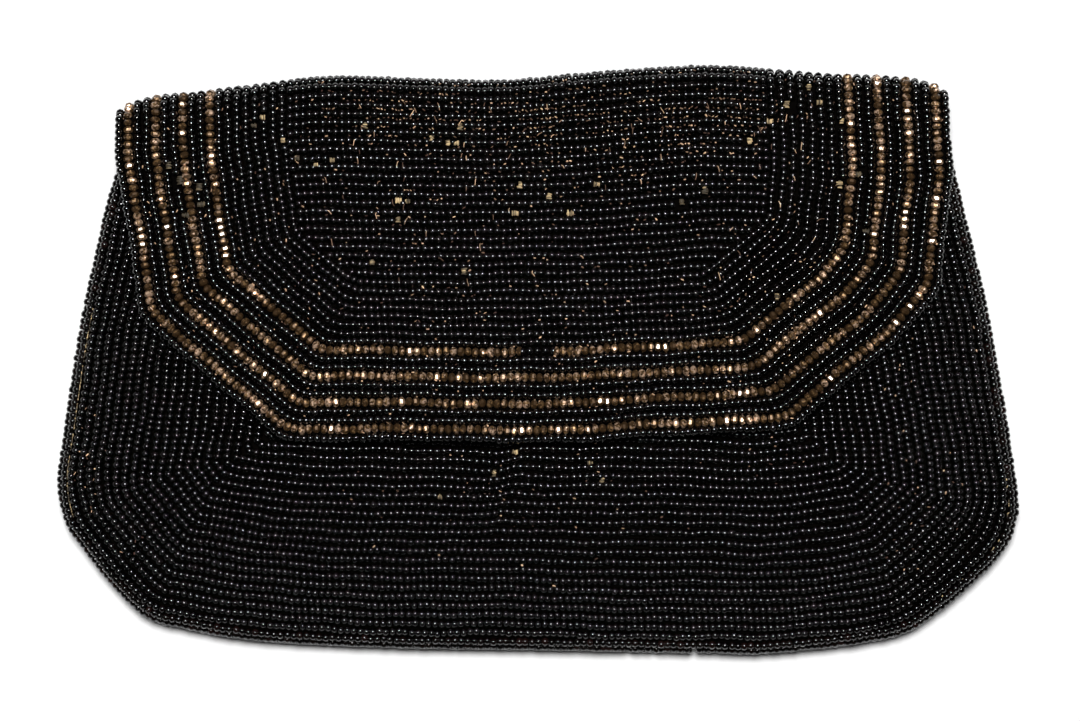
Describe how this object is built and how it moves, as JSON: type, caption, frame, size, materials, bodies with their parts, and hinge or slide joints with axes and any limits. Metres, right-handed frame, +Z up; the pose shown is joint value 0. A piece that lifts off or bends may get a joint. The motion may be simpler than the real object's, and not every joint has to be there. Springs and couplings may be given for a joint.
{
  "type": "beaded envelope clutch purse",
  "caption": "Evening clutch of black seed beads on cloth, with a folded flap edged by strings of gold beads and a soft open pocket.",
  "frame": {"origin": "centre of the bounding box at its lowest level, on the surface that the purse lies on", "axes": "+X to the right across the width, +Y from the bottom edge to the fold, +Z up out of the flap side"},
  "size_m": [0.2, 0.1222, 0.0188],
  "materials": {
    "black_beads": "gloss",
    "gold_beads": "gloss",
    "snap_steel": "satin"
  },
  "bodies": {
    "root": {"back_panel": "black_beads", "front_panel": "black_beads", "flap": "black_beads", "gold_string_1": "gold_beads", "gold_string_2": "gold_beads", "gold_string_3": "gold_beads", "gold_string_4": "gold_beads", "snap_fastener": "snap_steel"}
  },
  "joints": []
}
